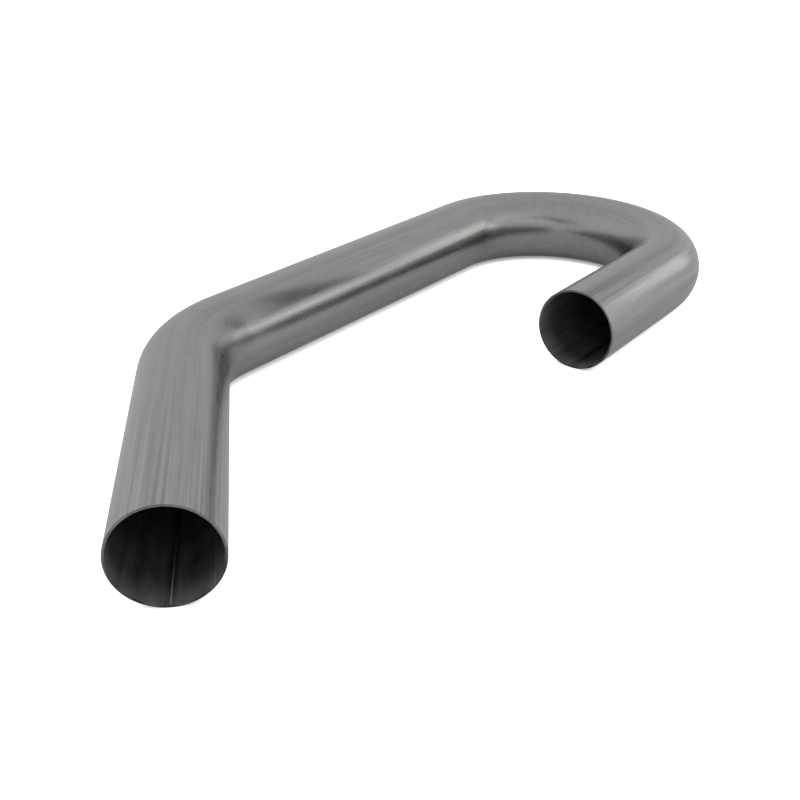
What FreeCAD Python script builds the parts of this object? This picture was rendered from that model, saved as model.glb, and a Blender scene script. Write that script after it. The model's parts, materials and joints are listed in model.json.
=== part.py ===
import FreeCAD, Part
import math
import os
import Sketcher

# Mandrel bend tube: one length of stainless exhaust tube, bent cold twice in one plane.
# It has an inlet leg, a first bend to the right, a long middle run, a return bend to the
# right and an outlet leg that comes back beside the middle run. The tube lies on its side,
# so its whole centre line is in the XY plane.
# The origin is the centre of the inlet's cut end, +Y runs along the middle run, +Z is up.

# Driving dimensions: alias, value in millimetres or degrees, meaning
SIZES = [
    ("outside_diameter", 63.5, "outside diameter of the tube, two and a half inches"),
    ("wall_thickness", 1.6, "wall of the straight tube, sixteen gauge"),
    ("bend_radius", 101.6, "centre-line radius of the bending die, four inches"),
    ("first_bend_angle", 45.0, "turn of the first bend, in degrees"),
    ("return_bend_angle", 180.0, "turn of the return bend, in degrees"),
    ("inlet_length", 213.5, "straight tube before the first bend"),
    ("middle_length", 308.0, "straight tube between the two bends"),
    ("outlet_length", 138.5, "straight tube after the return bend"),
    ("bead_width", 2.5, "width of the weld bead inside the tube"),
    ("bead_height", 0.2, "height of the rolled weld bead above the bore's wall"),
    ("edge_break", 0.3, "chamfer that deburrs both edges of each cut end"),
]

NODE = "bend_tube"
BORE_DIAMETER = "Sizes.outside_diameter - 2 * Sizes.wall_thickness"

# Where a section stands on a bend's arc, as a share of the arc's length
AT_START, AT_END = 0.0, 1.0

# Points nearer than this are the same point, in millimetres
SAME_POINT = 1e-4

# How a sketch names its origin and the points of a line or an arc
ORIGIN = -1
POINT = 1
START = 1
END = 2
CENTRE = 3

doc = FreeCAD.newDocument("mandrel_bend_tube")


def make_sheet():
    """The driving dimensions, one row each, with an alias on each value."""
    sheet = doc.addObject("Spreadsheet::Sheet", "Sizes")
    for row, (name, value, meaning) in enumerate(SIZES, start=1):
        sheet.set(f"A{row}", name)
        sheet.set(f"B{row}", str(value))
        sheet.set(f"C{row}", meaning)
        sheet.setAlias(f"B{row}", name)
    doc.recompute()
    return sheet


sheet = make_sheet()
size = {name: sheet.get(name) for name, _, _ in SIZES}
outer_radius = size["outside_diameter"] / 2
bore_radius = outer_radius - size["wall_thickness"]


def flat(x, y):
    """A vector in a sketch's own plane."""
    return FreeCAD.Vector(x, y, 0)


def circle(centre, radius):
    return Part.Circle(centre, FreeCAD.Vector(0, 0, 1), radius)


def join(sketch, kind, *where):
    """A constraint with no size, such as Tangent or Coincident."""
    sketch.addConstraint(Sketcher.Constraint(kind, *where))


def measure(sketch, formula, kind, *where_and_value):
    """A constraint whose size follows a formula of the sheet."""
    number = sketch.addConstraint(Sketcher.Constraint(kind, *where_and_value))
    sketch.setExpression(f"Constraints[{number}]", formula)


def ahead(start, heading, length):
    """The point that lies this far along a heading, measured clockwise from +Y."""
    return start + flat(math.sin(heading), math.cos(heading)) * length


def turn_right(start, heading, angle):
    """A bend to the right: (its arc, the point where it ends, the heading there)."""
    to_centre = heading + math.pi / 2
    centre = ahead(start, to_centre, size["bend_radius"])
    end = ahead(centre, to_centre + angle, -size["bend_radius"])
    arc = Part.ArcOfCircle(
        circle(centre, size["bend_radius"]),
        math.pi - heading - angle,
        math.pi - heading,
    )
    return arc, end, heading + angle


def make_route(body):
    """Sketch of the centre line: three straight legs joined by two tangent arcs."""
    sketch = body.newObject("Sketcher::SketchObject", "route")
    ground = next(p for p in body.Origin.OriginFeatures if p.Role == "XY_Plane")
    sketch.AttachmentSupport = [(ground, "")]
    sketch.MapMode = "FlatFace"

    first_angle = math.radians(size["first_bend_angle"])
    return_angle = math.radians(size["return_bend_angle"])

    inlet_start = flat(0, 0)
    inlet_end = ahead(inlet_start, -first_angle, size["inlet_length"])
    first_arc, middle_start, heading = turn_right(inlet_end, -first_angle, first_angle)
    middle_end = ahead(middle_start, heading, size["middle_length"])
    return_arc, outlet_start, heading = turn_right(middle_end, heading, return_angle)
    outlet_end = ahead(outlet_start, heading, size["outlet_length"])

    inlet = sketch.addGeometry(Part.LineSegment(inlet_start, inlet_end), False)
    first_bend = sketch.addGeometry(first_arc, False)
    middle = sketch.addGeometry(Part.LineSegment(middle_start, middle_end), False)
    return_bend = sketch.addGeometry(return_arc, False)
    outlet = sketch.addGeometry(Part.LineSegment(outlet_start, outlet_end), False)

    # An arc runs anticlockwise, so it starts where the tube leaves the bend
    join(sketch, "Tangent", inlet, END, first_bend, END)
    join(sketch, "Tangent", first_bend, START, middle, START)
    join(sketch, "Tangent", middle, END, return_bend, END)
    join(sketch, "Tangent", return_bend, START, outlet, START)
    join(sketch, "Vertical", middle)
    join(sketch, "Coincident", ORIGIN, POINT, inlet, START)

    legs = ((inlet, "inlet_length"), (middle, "middle_length"), (outlet, "outlet_length"))
    for leg, name in legs:
        measure(sketch, f"Sizes.{name}", "Distance", leg, size[name])
    for bend, name in ((first_bend, "first_bend_angle"), (return_bend, "return_bend_angle")):
        angle = math.radians(size[name])
        measure(sketch, "Sizes.bend_radius", "Radius", bend, size["bend_radius"])
        measure(sketch, f"Sizes.{name} * 1 deg", "Angle", bend, angle)
    return sketch


def make_section(body, name, route, bend, share):
    """The tube's section, square to the centre line at one end of a bend's arc.

    Its X axis points away from the bend's centre and its Y axis points up. The weld bead
    stands at the bore's lowest point: the seam is laid over the bends' neutral line, where
    a bend neither stretches nor presses it.
    """
    sketch = body.newObject("Sketcher::SketchObject", name)
    sketch.AttachmentSupport = [(route, bend)]
    sketch.MapMode = "FrenetNB"
    sketch.MapPathParameter = share

    half_bead = size["bead_width"] / 2
    half_gap = math.asin(half_bead / bore_radius)
    foot = -math.sqrt(bore_radius**2 - half_bead**2)
    left_foot, right_foot = flat(-half_bead, foot), flat(half_bead, foot)
    crown = flat(0, size["bead_height"] - bore_radius)
    bore_arc = Part.ArcOfCircle(
        circle(flat(0, 0), bore_radius),
        half_gap - math.pi / 2,
        math.pi * 3 / 2 - half_gap,
    )

    outer = sketch.addGeometry(circle(flat(0, 0), outer_radius), False)
    bore = sketch.addGeometry(bore_arc, False)
    bead = sketch.addGeometry(Part.Arc(right_foot, crown, left_foot), False)
    top = sketch.addGeometry(Part.Point(crown), True)

    join(sketch, "Coincident", outer, CENTRE, ORIGIN, POINT)
    join(sketch, "Coincident", bore, CENTRE, ORIGIN, POINT)
    measure(sketch, "Sizes.outside_diameter", "Diameter", outer, 2 * outer_radius)
    measure(sketch, BORE_DIAMETER, "Diameter", bore, 2 * bore_radius)

    join(sketch, "Horizontal", bore, END, bore, START)
    measure(sketch, "Sizes.bead_width", "DistanceX", bore, END, bore, START, 2 * half_bead)
    join(sketch, "Coincident", bead, START, bore, START)
    join(sketch, "Coincident", bead, END, bore, END)
    join(sketch, "PointOnObject", top, POINT, bead)
    join(sketch, "Vertical", top, POINT, bore, CENTRE)
    crown_depth = f"({BORE_DIAMETER}) / 2 - Sizes.bead_height"
    measure(sketch, crown_depth, "DistanceY", top, POINT, bore, CENTRE, -crown.y)
    return sketch


def make_leg(body, name, section, length, backward):
    """A straight leg, drawn out from the section where it meets a bend."""
    leg = body.newObject("PartDesign::Pad", name)
    leg.Profile = section
    leg.setExpression("Length", f"Sizes.{length}")
    leg.Reversed = backward
    return leg


def make_bend(body, name, section, route, edge):
    """A bend, swept along its arc of the route and kept level with the route's plane."""
    bend = body.newObject("PartDesign::AdditivePipe", name)
    bend.Profile = section
    bend.Spine = (route, [edge])
    bend.Mode = "Binormal"
    bend.Binormal = FreeCAD.Vector(0, 0, 1)
    return bend


def break_ends(body, tube, cut_ends):
    """Deburr the outer edge and the bore's edge of both cut ends with a small chamfer."""
    edges = []
    for number, edge in enumerate(tube.Shape.Edges, start=1):
        is_round = isinstance(edge.Curve, Part.Circle)
        if is_round and min((edge.Curve.Center - p).Length for p in cut_ends) < SAME_POINT:
            edges.append(f"Edge{number}")
    chamfer = body.newObject("PartDesign::Chamfer", "broken_edges")
    chamfer.Base = (tube, edges)
    chamfer.setExpression("Size", "Sizes.edge_break")
    return chamfer


def make_tube():
    """The whole tube: its legs and bends are drawn from sections at the bends' ends."""
    body = doc.addObject("PartDesign::Body", NODE)
    body.Label = NODE
    route = make_route(body)
    doc.recompute()

    first_bend, return_bend = "Edge2", "Edge4"
    inlet_end = make_section(body, "inlet_end", route, first_bend, AT_END)
    middle_start = make_section(body, "middle_start", route, first_bend, AT_START)
    outlet_start = make_section(body, "outlet_start", route, return_bend, AT_START)

    make_leg(body, "inlet_leg", inlet_end, "inlet_length", True)
    make_bend(body, "first_bend", inlet_end, route, first_bend)
    make_leg(body, "middle_run", middle_start, "middle_length", False)
    make_bend(body, "return_bend", outlet_start, route, return_bend)
    tube = make_leg(body, "outlet_leg", outlet_start, "outlet_length", False)
    doc.recompute()
    centre_line = route.Shape.Wires[0].OrderedVertexes
    cut_ends = [centre_line[0].Point, centre_line[-1].Point]
    break_ends(body, tube, cut_ends)
    doc.recompute()
    return body


body = make_tube()
for item in doc.Objects:
    if "Invalid" in item.State or "Error" in item.State:
        raise RuntimeError(f"{item.Label} failed: {item.State}")
shape = body.Shape
if shape.isNull() or not shape.isValid() or len(shape.Solids) != 1:
    raise RuntimeError(f"{NODE} is not one valid solid")

os.makedirs("parts", exist_ok=True)
shape.exportStep(f"parts/{NODE}.step")
print(f"{NODE}: {shape.Volume:.0f} mm3, {len(shape.Faces)} faces")
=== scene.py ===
# %% [markdown]
# # A mandrel bend tube
#
# The object is one length of thin stainless tube, bent cold twice in one plane. This lesson
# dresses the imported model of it. The model is already the right shape, but its mesh is loose
# triangles that know nothing of the tube's length, so the grain of the metal could not follow
# the bends. We rebuild the tube from the model's own sizes the way a tube mill and a bender
# make it: a flat strip is rolled round, welded along one seam, and bent.

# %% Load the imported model
import json
import math

import bpy
from mathutils import Matrix, Vector


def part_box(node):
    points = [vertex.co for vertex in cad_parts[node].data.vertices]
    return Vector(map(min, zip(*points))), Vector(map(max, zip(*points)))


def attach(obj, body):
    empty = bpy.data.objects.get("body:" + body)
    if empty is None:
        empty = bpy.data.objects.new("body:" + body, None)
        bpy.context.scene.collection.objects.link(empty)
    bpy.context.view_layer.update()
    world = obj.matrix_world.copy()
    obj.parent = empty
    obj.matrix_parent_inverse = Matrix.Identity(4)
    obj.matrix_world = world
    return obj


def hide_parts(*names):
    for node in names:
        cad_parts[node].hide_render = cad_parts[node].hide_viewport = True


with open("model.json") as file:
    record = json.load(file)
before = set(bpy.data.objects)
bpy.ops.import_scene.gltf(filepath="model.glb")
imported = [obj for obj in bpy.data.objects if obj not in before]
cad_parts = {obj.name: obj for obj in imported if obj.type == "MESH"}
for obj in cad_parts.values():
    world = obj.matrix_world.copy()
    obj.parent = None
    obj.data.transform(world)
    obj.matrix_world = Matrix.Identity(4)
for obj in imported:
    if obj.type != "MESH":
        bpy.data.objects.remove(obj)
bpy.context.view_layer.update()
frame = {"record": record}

# %% [markdown]
# ## The tube's sizes
#
# A script that repeats numbers from another file goes wrong when that file changes. So every
# size that the frame can tell is worked out from it: the two ends are mounts with a radius, a
# place and a direction, and the box gives the reach of the bends. Only what is too small to
# read there, such as the wall and the weld bead, is written down here.

# %% Sizes read from the frame
MM = 0.001
mounts = {mount["name"]: mount for mount in frame["record"]["mounts"]}
inlet, outlet = mounts["inlet_outside"], mounts["outlet_outside"]
low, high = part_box("bend_tube")

outer_radius = inlet["dims"]["r_mm"] * MM
inlet_mouth = Vector(inlet["pos_m"])
outlet_mouth = Vector(outlet["pos_m"])
middle_x = low.x + outer_radius
bend_radius = (outlet_mouth.x - middle_x) / 2

# Headings turn clockwise from +Y. The inlet's axis points out of its mouth, against the route
first_angle = math.atan2(inlet["axis"][0], -inlet["axis"][1])
return_angle = math.atan2(outlet["axis"][0], outlet["axis"][1])

sideways_in_bend = bend_radius * (1 - math.cos(first_angle))
inlet_length = (inlet_mouth.x - middle_x - sideways_in_bend) / math.sin(first_angle)
middle_start_y = inlet_length * math.cos(first_angle) + bend_radius * math.sin(first_angle)
middle_end_y = high.y - outer_radius - bend_radius
middle_length = middle_end_y - middle_start_y
outlet_length = middle_end_y - outlet_mouth.y
route_length = (inlet_length + middle_length + outlet_length
                + bend_radius * (first_angle + return_angle))

for name, length in {
    "outer radius": outer_radius,
    "bend radius": bend_radius,
    "inlet leg": inlet_length,
    "middle run": middle_length,
    "outlet leg": outlet_length,
    "whole route": route_length,
}.items():
    print(f"{name}: {length / MM:.1f} mm")
print(f"bends: {math.degrees(first_angle):.1f} and {math.degrees(return_angle):.1f} degrees")

# %% Sizes too small to read from the frame
WALL = 1.6 * MM
EDGE_BREAK = 0.3 * MM
BEAD_WIDTH = 2.5 * MM
BEAD_HEIGHT = 0.2 * MM

# %% [markdown]
# ## Helpers for node trees
#
# Geometry and shader trees are built by the same few moves: add a node, set it up, feed its
# sockets. Written out in full that takes five lines a node, so two helpers do it in one. A
# value that is fed may be a number or another node's output.

# %% Add and feed nodes
def feed(tree, socket, value):
    """Give a socket its value: a link from another node's output, or a constant."""
    if isinstance(value, bpy.types.NodeSocket):
        tree.links.new(value, socket)
    else:
        socket.default_value = value


def put(tree, kind, *values, out=0, named=None, **settings):
    """Add a node, set it up, feed its first sockets in order, and return one output."""
    node = tree.nodes.new(kind)
    for name, value in settings.items():
        setattr(node, name, value)
    for socket, value in zip(node.inputs, values):
        if value is not None:
            feed(tree, socket, value)
    for name, value in (named or {}).items():
        feed(tree, node.inputs[name], value)
    return node.outputs[out]


def calculator(tree):
    """A shorthand for Math nodes in one tree: calc("ADD", a, b) returns their sum."""
    def calc(operation, *values):
        return put(tree, "ShaderNodeMath", *values, operation=operation)
    return calc


# %% Start a node group with named inputs and outputs
def new_group(name, kind, inputs, outputs):
    """A node group, its input sockets by name, and a function that feeds its outputs."""
    tree = bpy.data.node_groups.new(name, kind)
    for label, (socket_kind, value) in inputs.items():
        socket = tree.interface.new_socket(label, in_out="INPUT", socket_type=socket_kind)
        if value is not None:
            socket.default_value = value
    for label, socket_kind in outputs.items():
        tree.interface.new_socket(label, in_out="OUTPUT", socket_type=socket_kind)
    entry = tree.nodes.new("NodeGroupInput")
    leaving = tree.nodes.new("NodeGroupOutput")

    def finish(label, value):
        feed(tree, leaving.inputs[label], value)

    return tree, {socket.name: socket for socket in entry.outputs if socket.name}, finish


def put_group(tree, group, **values):
    """Place a node group in a tree, with its inputs by name, and return its outputs."""
    kinds = {"ShaderNodeTree": "ShaderNodeGroup", "GeometryNodeTree": "GeometryNodeGroup"}
    node = tree.nodes.new(kinds[tree.bl_idname])
    node.node_tree = group
    for label, value in values.items():
        feed(tree, node.inputs[label.replace("_", " ")], value)
    return node.outputs


FLOAT, VECTOR, INTEGER = "NodeSocketFloat", "NodeSocketVector", "NodeSocketInt"
GEOMETRY, MATERIAL = "NodeSocketGeometry", "NodeSocketMaterial"

# %% [markdown]
# ## The route: straight runs and bends
#
# The centre line is three straight runs joined by two bends. It could be drawn as a curve and
# swept with Curve to Mesh. Here it is a rule instead: for any distance along the tube, each
# stretch adds the part of the way that lies in it. A run adds a step along its heading. A bend
# adds a piece of a circle and turns the heading. The rule can move any point of a straight
# tube to its place on the bent one, which is just what a tube bender does.

# %% How far one straight run carries a point
def straight_run_group():
    inputs = {"Distance": (FLOAT, 0), "Start": (FLOAT, 0), "Length": (FLOAT, 0),
              "Heading": (FLOAT, 0)}
    tree, given, finish = new_group("straight_run", "GeometryNodeTree", inputs,
                                    {"Offset": VECTOR})
    calc = calculator(tree)
    past_start = calc("MAXIMUM", calc("SUBTRACT", given["Distance"], given["Start"]), 0.0)
    travelled = calc("MINIMUM", past_start, given["Length"])
    east = calc("MULTIPLY", calc("SINE", given["Heading"]), travelled)
    north = calc("MULTIPLY", calc("COSINE", given["Heading"]), travelled)
    finish("Offset", put(tree, "ShaderNodeCombineXYZ", east, north, 0.0))
    return tree


# %% How far one bend to the right carries a point, and how much it turns it
def bend_group():
    inputs = {"Distance": (FLOAT, 0), "Start": (FLOAT, 0), "Radius": (FLOAT, 0.1),
              "Heading": (FLOAT, 0), "Angle": (FLOAT, 0)}
    tree, given, finish = new_group("bend", "GeometryNodeTree", inputs,
                                    {"Offset": VECTOR, "Turned": FLOAT})
    calc = calculator(tree)
    arc = calc("MAXIMUM", calc("SUBTRACT", given["Distance"], given["Start"]), 0.0)
    turned = calc("MINIMUM", calc("DIVIDE", arc, given["Radius"]), given["Angle"])
    facing = calc("ADD", given["Heading"], turned)
    east = calc("SUBTRACT", calc("COSINE", given["Heading"]), calc("COSINE", facing))
    north = calc("SUBTRACT", calc("SINE", facing), calc("SINE", given["Heading"]))
    across = put(tree, "ShaderNodeCombineXYZ", east, north, 0.0)
    offset = put(tree, "ShaderNodeVectorMath", across, operation="SCALE",
                 named={"Scale": given["Radius"]})
    finish("Offset", offset)
    finish("Turned", turned)
    return tree


straight_run, bend = straight_run_group(), bend_group()
print("route groups:", straight_run.name, "and", bend.name)

# %% [markdown]
# ## Strip, roll, weld, bend
#
# The real tube starts as a flat strip of sheet. Rolls curl it until its two long edges meet,
# and a weld along them leaves a thin bead inside. A bender then pulls it round a die, with a
# mandrel inside that keeps the bore round.
#
# The tree does the same. A grid-faced box is the strip. Its long edges are deleted, it is
# rolled, and Merge by Distance is the weld. The place of each point on the straight tube is
# stored before the bends, so that materials can lay their grain along the metal. The last step
# sends every point along the route.

# %% The strip, as a box with a grid on its faces
# Through the sheet the levels run from -0.5 at the bore to 0.5 at the skin, and what lies past
# this either way is bore or skin
AT_SURFACE = 0.45


def flat_strip(tree, calc, size):
    """A box one unit each way: across, along and through the sheet."""
    length = calc("MULTIPLY", size["Bend Radius"],
                  calc("ADD", size["First Bend Angle"], size["Return Bend Angle"]))
    for leg in ("Inlet Length", "Middle Length", "Outlet Length"):
        length = calc("ADD", length, size[leg])
    rings = put(tree, "FunctionNodeFloatToInt", calc("DIVIDE", length, size["Ring Spacing"]))
    unit = (1.0, 1.0, 1.0)
    levels_through_wall = 4
    strip = put(tree, "GeometryNodeMeshCube", unit, size["Segments"], rings,
                levels_through_wall)

    # The strip's long edges meet at the weld, so they aren't part of the surface
    nearly_sideways = 0.9
    facing = put(tree, "ShaderNodeSeparateXYZ", put(tree, "GeometryNodeInputNormal"))
    long_edge = calc("GREATER_THAN", calc("ABSOLUTE", facing), nearly_sideways)
    open_strip = put(tree, "GeometryNodeDeleteGeometry", strip, long_edge, domain="FACE")
    return open_strip, length


# %% The weld bead, as a low ridge inside the bore
def bead_rise(tree, calc, size, angle, distance, bore_radius):
    """How far the bead stands in from the bore's wall. It wavers a little, as welds do."""
    waver_length, waver_seed, waver_share = 0.012, 7.3, 0.35
    noise = put(tree, "ShaderNodeTexNoise", noise_dimensions="1D", named={
        "W": calc("MULTIPLY_ADD", distance, 1 / waver_length, waver_seed),
        "Scale": 1.0, "Detail": 1.0})
    waver = calc("MULTIPLY_ADD", noise, waver_share, 1.0 - waver_share / 2)
    beside_seam = calc("MULTIPLY", calc("WRAP", angle, math.pi, -math.pi), bore_radius)
    half_width = calc("MULTIPLY", size["Bead Width"], 0.5)
    share = calc("DIVIDE", beside_seam, half_width)
    ridge = calc("MAXIMUM", calc("SUBTRACT", 1.0, calc("MULTIPLY", share, share)), 0.0)
    return calc("MULTIPLY", calc("MULTIPLY", ridge, size["Bead Height"]), waver)


# %% Roll the strip into a straight tube
def roll(tree, calc, size, strip, length):
    """Curl the strip round +Y, with its seam at the bottom."""
    across, along, through = put_parts(tree, put(tree, "GeometryNodeInputPosition"))
    turn = calc("MULTIPLY", calc("ADD", across, 0.5), 2 * math.pi)

    # Points crowd together near the seam, where the narrow bead needs them
    crowding = 0.75
    angle = calc("SUBTRACT", turn, calc("MULTIPLY", calc("SINE", turn), crowding))

    # The four levels through the wall: bore, its broken edge, the outer broken edge, skin
    skin_or_bore = calc("GREATER_THAN", calc("ABSOLUTE", through), AT_SURFACE)
    inset = calc("MULTIPLY", calc("SUBTRACT", 1.0, skin_or_bore), size["Edge Break"])
    half_wall = calc("SUBTRACT", calc("MULTIPLY", size["Wall"], 0.5), inset)
    outer_radius = calc("MULTIPLY", size["Outside Diameter"], 0.5)
    bore_radius = calc("SUBTRACT", outer_radius, size["Wall"])
    mid_radius = calc("MULTIPLY", calc("ADD", outer_radius, bore_radius), 0.5)
    plain_radius = calc("MULTIPLY_ADD", calc("SIGN", through), half_wall, mid_radius)

    distance = calc("MULTIPLY", calc("ADD", along, 0.5), length)
    end_inset = calc("MULTIPLY", skin_or_bore, size["Edge Break"])
    last = calc("SUBTRACT", length, end_inset)
    distance = calc("MINIMUM", calc("MAXIMUM", distance, end_inset), last)

    inner = calc("LESS_THAN", through, 0.0)
    rise = bead_rise(tree, calc, size, angle, distance, bore_radius)
    radius = calc("SUBTRACT", plain_radius, calc("MULTIPLY", rise, inner))

    left = calc("MULTIPLY", calc("SINE", angle), calc("MULTIPLY", radius, -1.0))
    up = calc("MULTIPLY", calc("COSINE", angle), calc("MULTIPLY", radius, -1.0))
    rolled = put(tree, "ShaderNodeCombineXYZ", left, distance, up)
    marked = put(tree, "GeometryNodeStoreNamedAttribute", strip, data_type="FLOAT",
                 domain="POINT", named={"Name": "through_wall", "Value": through})
    tube = put(tree, "GeometryNodeSetPosition", marked, None, rolled)
    same_point = 1e-6
    return put(tree, "GeometryNodeMergeByDistance", tube, named={"Distance": same_point})


def put_parts(tree, vector):
    """The three numbers of a vector."""
    node = tree.nodes.new("ShaderNodeSeparateXYZ")
    feed(tree, node.inputs[0], vector)
    return node.outputs[0], node.outputs[1], node.outputs[2]


# %% Bend the straight tube along its route
def bend_along_route(tree, calc, size, tube):
    """Send each point along the route, and keep its place beside the centre line."""
    place = put(tree, "GeometryNodeInputPosition")
    tube = put(tree, "GeometryNodeStoreNamedAttribute", tube, data_type="FLOAT_VECTOR",
               domain="POINT", named={"Name": "unbent_place", "Value": place})
    beside, distance, above = put_parts(tree, place)

    heading = calc("MULTIPLY", size["First Bend Angle"], -1.0)
    start, facing, centre = 0.0, heading, (0.0, 0.0, 0.0)
    stretches = ("Inlet Length", "First Bend Angle", "Middle Length", "Return Bend Angle",
                 "Outlet Length")
    for name in stretches:
        amount = size[name]
        if name.endswith("Angle"):
            made = put_group(tree, bend, Distance=distance, Start=start, Heading=heading,
                             Radius=size["Bend Radius"], Angle=amount)
            facing = calc("ADD", facing, made["Turned"])
            heading = calc("ADD", heading, amount)
            start = calc("MULTIPLY_ADD", size["Bend Radius"], amount, start)
        else:
            made = put_group(tree, straight_run, Distance=distance, Start=start,
                             Heading=heading, Length=amount)
            start = calc("ADD", start, amount)
        centre = put(tree, "ShaderNodeVectorMath", centre, made["Offset"], operation="ADD")

    right_x = calc("MULTIPLY", calc("COSINE", facing), beside)
    right_y = calc("MULTIPLY", calc("SINE", facing), calc("MULTIPLY", beside, -1.0))
    aside = put(tree, "ShaderNodeCombineXYZ", right_x, right_y, above)
    bent = put(tree, "ShaderNodeVectorMath", centre, aside, operation="ADD")
    return put(tree, "GeometryNodeSetPosition", tube, None, bent)


# %% Give the skin, the bore and the cut ends their materials
def finish_surfaces(tree, calc, size, tube):
    """Skin, bore and cut ends get a material each, and only real edges stay sharp."""
    through = put(tree, "GeometryNodeInputNamedAttribute", "through_wall",
                  data_type="FLOAT")
    in_bore = calc("LESS_THAN", through, -AT_SURFACE)
    at_end = calc("LESS_THAN", calc("ABSOLUTE", through), AT_SURFACE)
    edge_turn = put(tree, "GeometryNodeInputMeshEdgeAngle")
    sharpest_smooth_edge = math.radians(14)
    soft = calc("LESS_THAN", edge_turn, sharpest_smooth_edge)
    tube = put(tree, "GeometryNodeSetShadeSmooth", tube, None, soft, domain="EDGE")
    tube = put(tree, "GeometryNodeRealizeInstances", tube)
    tube = put(tree, "GeometryNodeSetMaterial", tube, None, size["Skin"])
    tube = put(tree, "GeometryNodeSetMaterial", tube, in_bore, size["Bore"])
    return put(tree, "GeometryNodeSetMaterial", tube, at_end, size["Cut End"])


# %% The whole tree, with its sizes as named inputs
def bent_tube_tree():
    sizes = ("Outside Diameter", "Wall", "Bend Radius", "First Bend Angle",
             "Return Bend Angle", "Inlet Length", "Middle Length", "Outlet Length",
             "Edge Break", "Bead Width", "Bead Height", "Ring Spacing")
    inputs = {"Geometry": (GEOMETRY, None), "Segments": (INTEGER, 96)}
    inputs.update({name: (FLOAT, 0.01) for name in sizes})
    inputs.update({name: (MATERIAL, None) for name in ("Skin", "Bore", "Cut End")})
    tree, size, finish = new_group("strip_to_bent_tube", "GeometryNodeTree", inputs,
                                   {"Geometry": GEOMETRY})
    calc = calculator(tree)
    strip, length = flat_strip(tree, calc, size)
    straight_tube = roll(tree, calc, size, strip, length)
    bent_tube = bend_along_route(tree, calc, size, straight_tube)
    finish("Geometry", finish_surfaces(tree, calc, size, bent_tube))
    return tree


tube_tree = bent_tube_tree()
print("tube tree:", len(tube_tree.nodes), "nodes")

# %% [markdown]
# ## The look of drawn stainless
#
# The skin is neither polished nor blasted. The strip was rolled and the tube was drawn, so the
# metal carries fine lines, wider streaks and broad soft bands, all running lengthwise and
# round the bends with it. One node group makes them from the place that each point had on the
# straight tube, and the skin, the bore and the cut ends use it with their own amounts.
#
# A photo of brushed metal could be wrapped round instead, but its repeats would show on a tube
# this long, and a noise that is stretched along the grain has none.

# %% One layer of noise, stretched along the tube
def stretched_noise(tree, place, width, length, seed, detail):
    """Cloudy noise whose spots are this wide across the grain and this long along it."""
    calc = calculator(tree)
    across, along = 1.0 / width, 1.0 / length
    scale = (across, along, across)
    where = put(tree, "ShaderNodeVectorMath", place, scale, operation="MULTIPLY")
    noise = put(tree, "ShaderNodeTexNoise", noise_dimensions="4D", named={
        "Vector": where, "W": seed, "Scale": 1.0, "Detail": detail, "Roughness": 0.55})
    return calc("SUBTRACT", noise, 0.5)


# %% The drawn-metal group
def drawn_metal_group():
    """Tone is how much lighter or darker, Height is the relief, Mottle is cloudy wear."""
    amounts = ("Line Amount", "Streak Amount", "Band Amount", "Mottle Amount")
    inputs = {"Place": (VECTOR, None)} | {name: (FLOAT, 0.1) for name in amounts}
    tree, given, finish = new_group("drawn_metal", "ShaderNodeTree", inputs,
                                    {"Tone": FLOAT, "Height": FLOAT, "Mottle": FLOAT})
    calc = calculator(tree)
    place = given["Place"]
    lines = stretched_noise(tree, place, width=0.5 * MM, length=70 * MM, seed=1.7, detail=2.0)
    streaks = stretched_noise(tree, place, width=2.0 * MM, length=240 * MM, seed=4.1,
                              detail=2.0)
    bands = stretched_noise(tree, place, width=9 * MM, length=500 * MM, seed=8.6, detail=1.0)
    mottle = stretched_noise(tree, place, width=7 * MM, length=24 * MM, seed=2.9, detail=4.0)

    # Streaks come and go along the tube, so some stretches look cleaner than others
    swing, faintest, strongest = 0.15, 0.35, 1.3
    patches = stretched_noise(tree, place, width=60 * MM, length=160 * MM, seed=5.3,
                              detail=1.0)
    streak_strength = put(tree, "ShaderNodeMapRange", patches, -swing, swing, faintest,
                          strongest)
    streaks_shown = calc("MULTIPLY", streaks, streak_strength)

    tone = 0.0
    for layer, amount in zip((lines, streaks_shown, bands, mottle), amounts):
        tone = calc("MULTIPLY_ADD", layer, given[amount], tone)
    finish("Tone", tone)
    streak_height = 0.5
    finish("Height", calc("MULTIPLY_ADD", streaks, streak_height, lines))
    finish("Mottle", mottle)
    return tree


drawn_metal = drawn_metal_group()

# %% [markdown]
# ## Marks that the bender leaves
#
# A bend is clamped at one end and wiped by a die at the other, and the mandrel's balls stand
# in a row inside it. That leaves a faint line across the tube where each bend starts and ends
# and very low ripples in between. Both follow the distance along the tube, so a second group
# works them out from the stored place.

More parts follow.
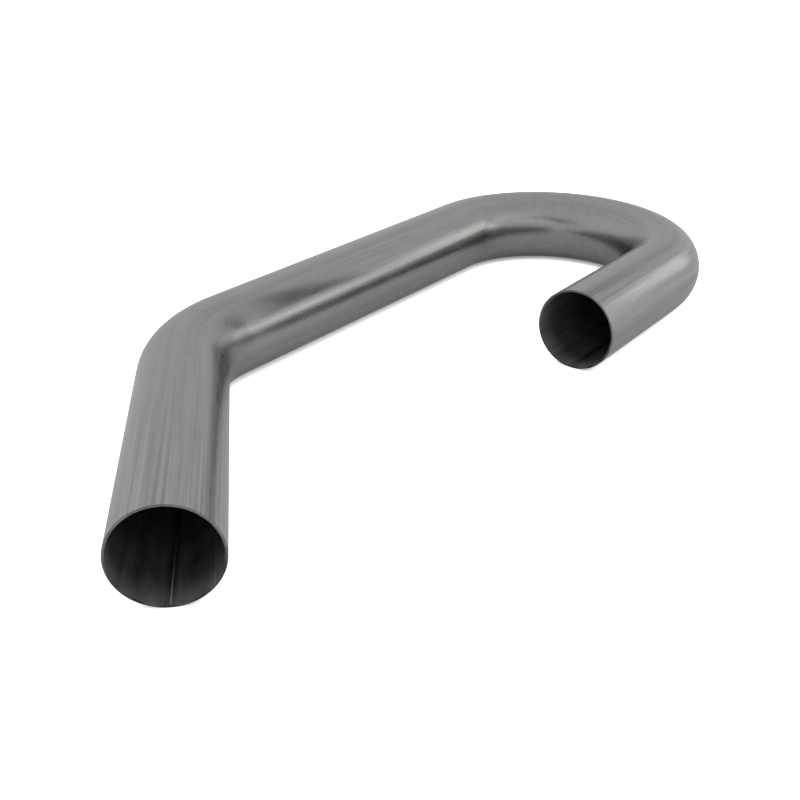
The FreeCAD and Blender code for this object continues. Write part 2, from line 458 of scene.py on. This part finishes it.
# %% The bender's marks
def bender_marks_group():
    """Line is 1 on a bend's first and last line, Ripple is a wave only in the bends."""
    inputs = {"Place": (VECTOR, None), "Line Width": (FLOAT, 1.5 * MM),
              "Ripple Pitch": (FLOAT, 11 * MM)}
    tree, given, finish = new_group("bender_marks", "ShaderNodeTree", inputs,
                                    {"Line": FLOAT, "Ripple": FLOAT, "In Bend": FLOAT})
    calc = calculator(tree)
    _, distance, _ = put_parts(tree, given["Place"])
    first_start = inlet_length
    first_end = first_start + bend_radius * first_angle
    return_start = first_end + middle_length
    return_end = return_start + bend_radius * return_angle
    fade = 12 * MM
    line, in_bend = 0.0, 0.0
    for start, end in ((first_start, first_end), (return_start, return_end)):
        for tangent in (start, end):
            off = calc("DIVIDE", calc("SUBTRACT", distance, tangent), given["Line Width"])
            near = calc("EXPONENT", calc("MULTIPLY", calc("MULTIPLY", off, off), -1.0))
            line = calc("ADD", near, line)
        half = (end - start) / 2
        from_middle = calc("ABSOLUTE", calc("SUBTRACT", distance, (start + end) / 2))
        inside = put(tree, "ShaderNodeMapRange", from_middle, half, half - fade, 0.0, 1.0,
                     interpolation_type="SMOOTHSTEP")
        in_bend = calc("ADD", inside, in_bend)
    uneven = stretched_noise(tree, given["Place"], width=25 * MM, length=9 * MM, seed=6.4,
                             detail=1.0)
    phase = calc("ADD", calc("DIVIDE", distance, given["Ripple Pitch"]), uneven)
    wave = calc("SINE", calc("MULTIPLY", phase, 2 * math.pi))
    finish("Line", line)
    finish("Ripple", calc("MULTIPLY", wave, in_bend))
    finish("In Bend", in_bend)
    return tree


bender_marks = bender_marks_group()

# %% [markdown]
# ## Lines that run along the metal
#
# The two long edges of the strip are joined without filler, and the bead inside is rolled
# nearly flat. What stays is a bright narrow crest between two bands that the heat has
# darkened. Outside, the weld is ground flush, and only a dull stripe tells where it runs. The
# mandrel has also drawn one fine scratch through the bore. One group makes all of these: a
# soft line, so far to the right of the seam, which is at the bottom of the straight tube.

# %% The lengthwise-line group
def lengthwise_line_group():
    """Line is 1 on a line through the lower half of the tube, and fades over its width."""
    inputs = {"Place": (VECTOR, None), "Beside": (FLOAT, 0.0), "Width": (FLOAT, 0.5 * MM)}
    tree, given, finish = new_group("lengthwise_line", "ShaderNodeTree", inputs,
                                    {"Line": FLOAT})
    calc = calculator(tree)
    beside, _, above = put_parts(tree, given["Place"])
    waver_reach = 0.6 * MM
    waver = stretched_noise(tree, given["Place"], width=40 * MM, length=14 * MM, seed=3.3,
                            detail=2.0)
    wavering = calc("MULTIPLY_ADD", waver, waver_reach, beside)
    off = calc("SUBTRACT", wavering, given["Beside"])
    share = calc("DIVIDE", off, given["Width"])
    near = calc("EXPONENT", calc("MULTIPLY", calc("MULTIPLY", share, share), -1.0))
    finish("Line", calc("MULTIPLY", near, calc("LESS_THAN", above, 0.0)))
    return tree


lengthwise_line = lengthwise_line_group()

# %% [markdown]
# ## The three finishes
#
# The skin is satin: bright enough to show a soft lamp, rough enough to blur it. The bore has
# never been brushed and keeps the dull scale of the mill and the weld; its dark colour is
# partly that scale and partly painted shade of the tube's inside. The cut ends were sawn and
# deburred, so they are bare metal too, but duller than the skin.
#
# Roughness decides most of how steel looks, so each finish sets its own and lets the grain
# shift it a little. A metal's base colour is what it mirrors straight on, so these colours
# look darker written down than the steel does under a white sky and a lamp.

# %% Start a metal material
# Below 1, this holds back the bright rim that smooth metal shows at a glancing angle
EDGE_TINT = (0.75, 0.75, 0.75, 1.0)


def metal(name):
    """A material with a Principled shader set to bare metal, and its stored place."""
    material = bpy.data.materials.new(name)
    material.use_nodes = True
    tree = material.node_tree
    shader = tree.nodes["Principled BSDF"]
    shader.inputs["Metallic"].default_value = 1.0
    shader.inputs["Specular Tint"].default_value = EDGE_TINT
    place = put(tree, "ShaderNodeAttribute", out="Vector", attribute_name="unbent_place")
    return material, tree, shader, place


def toned(tree, colour, tone):
    """A colour made lighter or darker: tone 0.1 is a tenth lighter."""
    calc = calculator(tree)
    return put(tree, "ShaderNodeVectorMath", colour, operation="SCALE",
               named={"Scale": calc("ADD", tone, 1.0)})


def near_mouth(tree, place, reach):
    """1 at both mouths, fading to 0 this far into the tube."""
    calc = calculator(tree)
    _, distance, _ = put_parts(tree, place)
    from_mouth = calc("MINIMUM", distance, calc("SUBTRACT", route_length, distance))
    return put(tree, "ShaderNodeMapRange", from_mouth, 0.0, reach, 1.0, 0.0,
               interpolation_type="SMOOTHSTEP")


# %% Satin skin
SKIN_COLOUR = (0.284, 0.2825, 0.275)
SKIN_ROUGHNESS = 0.26
SCUFFED_REACH = 260 * MM
BURNT_WIDTH = 2.5 * MM


def satin_skin():
    """Steel with lengthwise grain, the bender's marks and a dull stripe over the weld."""
    material, tree, shader, place = metal("satin_skin")
    calc = calculator(tree)
    fewest_lines, more_lines = 0.2, 0.2
    fewest_streaks, more_streaks = 0.4, 0.6
    mark_tone, ripple_tone, burnt_tone = -0.04, 0.02, -0.12
    mottle_rough, bend_rough, burnt_rough = 0.16, 0.03, 0.12
    ripple_relief = 0.15
    scuffed = near_mouth(tree, place, SCUFFED_REACH)
    line_amount = calc("MULTIPLY_ADD", scuffed, more_lines, fewest_lines)
    streak_amount = calc("MULTIPLY_ADD", scuffed, more_streaks, fewest_streaks)
    grain = put_group(tree, drawn_metal, Place=place, Line_Amount=line_amount,
                      Streak_Amount=streak_amount, Band_Amount=0.35, Mottle_Amount=0.22)
    marks = put_group(tree, bender_marks, Place=place)
    burnt = put_group(tree, lengthwise_line, Place=place, Width=BURNT_WIDTH)["Line"]
    tone = calc("MULTIPLY_ADD", marks["Line"], mark_tone, grain["Tone"])
    tone = calc("MULTIPLY_ADD", marks["Ripple"], ripple_tone, tone)
    tone = calc("MULTIPLY_ADD", burnt, burnt_tone, tone)
    feed(tree, shader.inputs["Base Color"], toned(tree, SKIN_COLOUR, tone))
    rough = calc("MULTIPLY_ADD", grain["Mottle"], mottle_rough, SKIN_ROUGHNESS)
    rough = calc("MULTIPLY_ADD", marks["In Bend"], bend_rough, rough)
    rough = calc("MULTIPLY_ADD", burnt, burnt_rough, rough)
    feed(tree, shader.inputs["Roughness"], rough)
    relief = calc("MULTIPLY_ADD", marks["Ripple"], ripple_relief, grain["Height"])
    feed(tree, shader.inputs["Normal"], put(tree, "ShaderNodeBump", named={
        "Strength": 0.3, "Distance": 0.03 * MM, "Height": relief}))
    return material


# %% Dark bore
# Partly the dull scale's own colour, partly painted shade: the bore is drawn darker for the
# shade inside the tube
BORE_COLOUR = (0.08, 0.08, 0.086)
BORE_ROUGHNESS = 0.5
BORE_METALLIC = 0.4
MOUTH_LIGHT_REACH = 22 * MM
CREST_REACH = 75 * MM
CREST_WIDTH = 0.4 * MM
SCRATCH_WIDTH = 0.25 * MM
SCRATCH_BESIDE = 23.8 * MM


def dark_bore():
    """Dull scale and painted shade, with the weld's crest and burnt bands, and painted light
    next to the mouths.
    """
    material, tree, shader, place = metal("dark_bore")
    calc = calculator(tree)
    shader.inputs["Metallic"].default_value = BORE_METALLIC
    grain = put_group(tree, drawn_metal, Place=place, Line_Amount=0.8, Streak_Amount=1.0,
                      Band_Amount=0.8, Mottle_Amount=2.0)
    burnt = put_group(tree, lengthwise_line, Place=place, Width=BURNT_WIDTH)["Line"]
    crest = put_group(tree, lengthwise_line, Place=place, Width=CREST_WIDTH)["Line"]
    scratch = put_group(tree, lengthwise_line, Place=place, Beside=SCRATCH_BESIDE,
                        Width=SCRATCH_WIDTH)["Line"]
    # The crest and the scratch are real; their brightening is painted light, drawn only near
    # the inlet where light falls into the bore, and fading with depth
    _, distance, _ = put_parts(tree, place)
    painted_inlet_light = put(tree, "ShaderNodeMapRange", distance, 0.0, CREST_REACH, 1.0, 0.0,
                      interpolation_type="SMOOTHSTEP")
    # Painted light: the bore is drawn lighter next to both mouths, where outside light reaches
    # in
    painted_mouth_light = near_mouth(tree, place, MOUTH_LIGHT_REACH)
    burnt_tone, mouth_light_tone, crest_tone, scratch_tone = -0.6, 1.2, 4.5, 2.0
    crest_shown = calc("MULTIPLY", crest, painted_inlet_light)
    scratch_shown = calc("MULTIPLY", scratch, painted_inlet_light)
    tone = calc("MULTIPLY_ADD", burnt, burnt_tone, grain["Tone"])
    tone = calc("MULTIPLY_ADD", painted_mouth_light, mouth_light_tone, tone)
    tone = calc("MULTIPLY_ADD", crest_shown, crest_tone, tone)
    tone = calc("MULTIPLY_ADD", scratch_shown, scratch_tone, tone)
    feed(tree, shader.inputs["Base Color"], toned(tree, BORE_COLOUR, tone))
    mottle_rough, crest_rough = 0.3, -0.15
    rough = calc("MULTIPLY_ADD", grain["Mottle"], mottle_rough, BORE_ROUGHNESS)
    rough = calc("MULTIPLY_ADD", crest, crest_rough, rough)
    feed(tree, shader.inputs["Roughness"], rough)
    feed(tree, shader.inputs["Normal"], put(tree, "ShaderNodeBump", named={
        "Strength": 0.4, "Distance": 0.08 * MM, "Height": grain["Mottle"]}))
    return material


# %% Sawn and deburred ends
CUT_COLOUR = (0.165, 0.163, 0.157)
CUT_ROUGHNESS = 0.42
LOWER_SHADE_STARTS, LOWER_SHADE_FULL = 15 * MM, -15 * MM


def cut_end():
    """The end of the wall: duller than the skin, with painted shade that darkens its lower
    half.
    """
    material, tree, shader, place = metal("cut_end")
    calc = calculator(tree)
    grain = put_group(tree, drawn_metal, Place=place, Line_Amount=0.9, Streak_Amount=0.8,
                      Band_Amount=0.8, Mottle_Amount=0.5)
    _, _, above = put_parts(tree, place)
    # Painted shade: the cut ends are drawn darker towards the bottom, where they mirror the
    # shadowed floor beside the tube
    painted_lower_shade = put(tree, "ShaderNodeMapRange", above, LOWER_SHADE_STARTS, LOWER_SHADE_FULL, 0.0, 1.0,
               interpolation_type="SMOOTHSTEP")
    lower_shade_tone, mottle_rough = -0.6, 0.3
    tone = calc("MULTIPLY_ADD", painted_lower_shade, lower_shade_tone, grain["Tone"])
    feed(tree, shader.inputs["Base Color"], toned(tree, CUT_COLOUR, tone))
    rough = calc("MULTIPLY_ADD", grain["Mottle"], mottle_rough, CUT_ROUGHNESS)
    feed(tree, shader.inputs["Roughness"], rough)
    return material


finishes = {"Skin": satin_skin(), "Bore": dark_bore(), "Cut End": cut_end()}
print("finishes:", ", ".join(material.name for material in finishes.values()))

# %% [markdown]
# ## Make the tube
#
# The tree runs once, as a modifier. Its result is then turned into a plain mesh, because what
# leaves this file should carry its own points and not a recipe.

# %% Run the tree and keep its mesh
def run_tree(name, tree, values):
    """An object whose mesh is what the tree makes from these values."""
    piece = bpy.data.objects.new(name, bpy.data.meshes.new(name))
    bpy.context.scene.collection.objects.link(piece)
    modifier = piece.modifiers.new("nodes", "NODES")
    modifier.node_group = tree
    identifiers = {item.name: item.identifier for item in tree.interface.items_tree
                   if item.in_out == "INPUT"}
    for label, value in values.items():
        modifier[identifiers[label]] = value
    graph = bpy.context.evaluated_depsgraph_get()
    mesh = bpy.data.meshes.new_from_object(piece.evaluated_get(graph),
                                           preserve_all_data_layers=True, depsgraph=graph)
    # The box that the tree starts from brings an empty first slot
    if mesh.materials[0] is None:
        mesh.materials.pop(index=0)
    piece.modifiers.remove(modifier)
    piece.data = mesh
    return piece


RING_SPACING = 5 * MM
SEGMENTS = 193

tube = run_tree("bent_tube_wall", tube_tree, {
    "Outside Diameter": 2 * outer_radius,
    "Wall": WALL,
    "Bend Radius": bend_radius,
    "First Bend Angle": first_angle,
    "Return Bend Angle": return_angle,
    "Inlet Length": inlet_length,
    "Middle Length": middle_length,
    "Outlet Length": outlet_length,
    "Edge Break": EDGE_BREAK,
    "Bead Width": BEAD_WIDTH,
    "Bead Height": BEAD_HEIGHT,
    "Ring Spacing": RING_SPACING,
    "Segments": SEGMENTS,
    **finishes,
})
print("tube:", len(tube.data.vertices), "points,", len(tube.data.polygons), "faces")
print("materials:", tube.data.materials[:])
print("attributes:", [attribute.name for attribute in tube.data.attributes])
print("its size in mm:", [round(side / MM, 2) for side in tube.dimensions])

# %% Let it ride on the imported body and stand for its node
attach(tube, "root")
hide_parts("bend_tube")

# %% [markdown]
# ## The studio
#
# Metal has hardly any look of its own: it shows what stands round it. The studio is a pale
# floor under an even sky, so that colours come out about as they are written, and three soft
# lamps that the tube can mirror as long highlights.

# %% A pale floor
FLOOR_SIZE = 12.0
FLOOR_COLOUR = (0.86, 0.86, 0.86, 1.0)
MATT_ROUGHNESS = 0.9
GLOW_TO_THE_EYE = 0.95
GLOW_IN_MIRRORS = 0.12
CONTACT_SHADOW_REACH = 5 * MM
CONTACT_SHADOW_DEPTH = 0.75


def floor_material():
    """White to the eye apart from the shadow where the tube touches; metal mirrors it."""
    material = bpy.data.materials.new("pale_floor")
    material.use_nodes = True
    tree = material.node_tree
    matt = tree.nodes["Principled BSDF"]
    matt.inputs["Base Color"].default_value = FLOOR_COLOUR
    matt.inputs["Roughness"].default_value = MATT_ROUGHNESS
    matt.inputs["Specular IOR Level"].default_value = 0.0
    matt.inputs["Emission Color"].default_value = (1.0, 1.0, 1.0, 1.0)
    calc = calculator(tree)
    open_above = put(tree, "ShaderNodeAmbientOcclusion", out="AO", samples=16,
                     named={"Distance": CONTACT_SHADOW_REACH})
    shadow = calc("MULTIPLY", calc("SUBTRACT", 1.0, open_above), CONTACT_SHADOW_DEPTH)
    path = tree.nodes.new("ShaderNodeLightPath")
    to_eye = calc("MULTIPLY", calc("SUBTRACT", GLOW_TO_THE_EYE, shadow),
                  path.outputs["Is Camera Ray"])
    mirrored = calc("MAXIMUM", path.outputs["Is Glossy Ray"],
                    path.outputs["Is Transmission Ray"])
    glow = calc("MULTIPLY_ADD", mirrored, GLOW_IN_MIRRORS, to_eye)
    feed(tree, matt.inputs["Emission Strength"], glow)
    return material


def pale_floor():
    """One large square at the tube's lowest line."""
    half = FLOOR_SIZE / 2
    middle = (low + high) / 2
    corners = [(middle.x + x * half, middle.y + y * half, low.z)
               for x, y in ((-1, -1), (1, -1), (1, 1), (-1, 1))]
    mesh = bpy.data.meshes.new("floor")
    mesh.from_pydata(corners, [], [(0, 1, 2, 3)])
    mesh.materials.append(floor_material())
    floor = bpy.data.objects.new("floor", mesh)
    bpy.context.scene.collection.objects.link(floor)
    return floor


pale_floor()

# %% An even sky
def even_sky(horizon, zenith):
    """A white sky, a little brighter at the horizon than overhead."""
    world = bpy.data.worlds.new("even_sky")
    world.use_nodes = True
    tree = world.node_tree
    _, _, up = put_parts(tree, put(tree, "ShaderNodeTexCoord"))
    zenith_from = 0.8
    level = put(tree, "ShaderNodeMapRange", up, 0.0, zenith_from, horizon, zenith)
    background = tree.nodes["Background"]
    background.inputs["Color"].default_value = (1.0, 1.0, 1.0, 1.0)
    feed(tree, background.inputs["Strength"], level)
    bpy.context.scene.world = world


even_sky(horizon=1.02, zenith=0.88)

# %% Soft lamps
def direction(azimuth, elevation):
    """A unit step along a heading, clockwise from +Y, and a height angle, in degrees."""
    heading, rise = math.radians(azimuth), math.radians(elevation)
    return Vector((math.sin(heading) * math.cos(rise),
                   math.cos(heading) * math.cos(rise), math.sin(rise)))


def softbox(name, aim, azimuth, elevation, distance, width, height, radiance):
    """An area lamp that faces aim from a heading, clockwise from +Y, and a height angle."""
    outward = direction(azimuth, elevation)
    lamp = bpy.data.lights.new(name, "AREA")
    lamp.shape, lamp.size, lamp.size_y = "RECTANGLE", width, height
    lamp.energy = radiance * math.pi * width * height
    made = bpy.data.objects.new(name, lamp)
    made.location = aim + outward * distance
    made.rotation_euler = outward.to_track_quat("Z", "Y").to_euler()
    made.visible_camera = False
    bpy.context.scene.collection.objects.link(made)
    return made


# Each lamp faces a place on the tube: the middle run's right flank or the outlet leg
flank = Vector((middle_x + outer_radius, (middle_start_y + middle_end_y) / 2, 0.0))
past_first_bend = 100 * MM
flank_start = Vector((flank.x, middle_start_y + past_first_bend, 0.0))
outlet_middle = Vector((outlet_mouth.x, outlet_mouth.y + outlet_length / 2, 0.0))
softbox("near_strip", outlet_middle, azimuth=20, elevation=18, distance=0.75,
        width=0.18, height=0.23, radiance=1.15)
softbox("far_strip", flank_start, azimuth=48, elevation=14.5, distance=1.5,
        width=0.34, height=0.26, radiance=1.3)
softbox("fill_softbox", flank, azimuth=105, elevation=38, distance=2.5,
        width=4.2, height=0.8, radiance=0.42)

# %% [markdown]
# A grey card hangs a hand's breadth above the tube. Photographers use one to draw a dark shape
# on bright metal, which shows how round it is. Being so near, it looks different from each
# place along the tube, and so the dark shape slants across the middle run. The card is hidden
# from the camera and only seen in the tube's skin.

# %% A grey card above the middle run
CARD_HEIGHT = 120 * MM
CARD_CORNERS_MM = ((-190, 300), (-15, 390), (-25, 480), (62, 640))
CARD_PALE, CARD_DARK = 0.6, 0.05
CARD_PALE_UNTIL, CARD_DARK_FROM = 310 * MM, 520 * MM


def grey_card():
    """A level card that is pale at its wide end and dark towards its tip."""
    material = bpy.data.materials.new("grey_card")
    material.use_nodes = True
    tree = material.node_tree
    matt = tree.nodes["Principled BSDF"]
    matt.inputs["Roughness"].default_value = MATT_ROUGHNESS
    matt.inputs["Specular IOR Level"].default_value = 0.0
    _, along, _ = put_parts(tree, put(tree, "ShaderNodeTexCoord", out="Object"))
    grey = put(tree, "ShaderNodeMapRange", along, CARD_PALE_UNTIL, CARD_DARK_FROM,
               CARD_PALE, CARD_DARK)
    feed(tree, matt.inputs["Base Color"], grey)
    corners = [(x * MM, y * MM, CARD_HEIGHT) for x, y in CARD_CORNERS_MM]
    mesh = bpy.data.meshes.new("grey_card")
    mesh.from_pydata(corners, [], [(0, 1, 2, 3)])
    mesh.materials.append(material)
    card = bpy.data.objects.new("grey_card", mesh)
    card.visible_camera = False
    bpy.context.scene.collection.objects.link(card)
    return card


grey_card()

# %% [markdown]
# ## The camera
#
# The photo was measured once: its focal length, how far the camera looks down, its slight
# roll, and the pixel where the centre of the near mouth falls. From these and the frame, the
# camera's place follows, so it needs no numbers of its own.

# %% The photo's viewpoint
IMAGE_SIDE = 800
FOCAL_LENGTH_PX = 1039.71
SENSOR_WIDTH_MM = 36.0
INLET_MOUTH_PX = Vector((164.65, 556.95))
IMAGE_CENTRE_PX = Vector((399.5, 399.5))
LOOK_DOWN = math.radians(26.693)
ROLL = math.radians(0.391)
INLET_LEG_TO_THE_LEFT = math.radians(8.319)
HEIGHT_ABOVE_AXIS = 309.4 * MM


def photo_camera():
    """A camera that sees the near mouth at its pixel, from its height above the tube."""
    heading = -first_angle + INLET_LEG_TO_THE_LEFT
    turn = (Matrix.Rotation(-heading, 3, "Z")
            @ Matrix.Rotation(math.pi / 2 - LOOK_DOWN, 3, "X")
            @ Matrix.Rotation(ROLL, 3, "Z"))
    off_centre = (INLET_MOUTH_PX - IMAGE_CENTRE_PX) / FOCAL_LENGTH_PX
    to_mouth = turn @ Vector((off_centre.x, -off_centre.y, -1.0))
    lens = bpy.data.cameras.new("photo_camera")
    lens.sensor_width = SENSOR_WIDTH_MM
    lens.lens = FOCAL_LENGTH_PX / IMAGE_SIDE * SENSOR_WIDTH_MM
    camera = bpy.data.objects.new("photo_camera", lens)
    camera.matrix_world = turn.to_4x4()
    camera.location = inlet_mouth + to_mouth * (HEIGHT_ABOVE_AXIS / to_mouth.z)
    bpy.context.scene.collection.objects.link(camera)
    bpy.context.scene.camera = camera
    return camera


camera = photo_camera()
bpy.context.scene.view_settings.view_transform = "Standard"
print("camera at", tuple(round(c, 3) for c in camera.location))
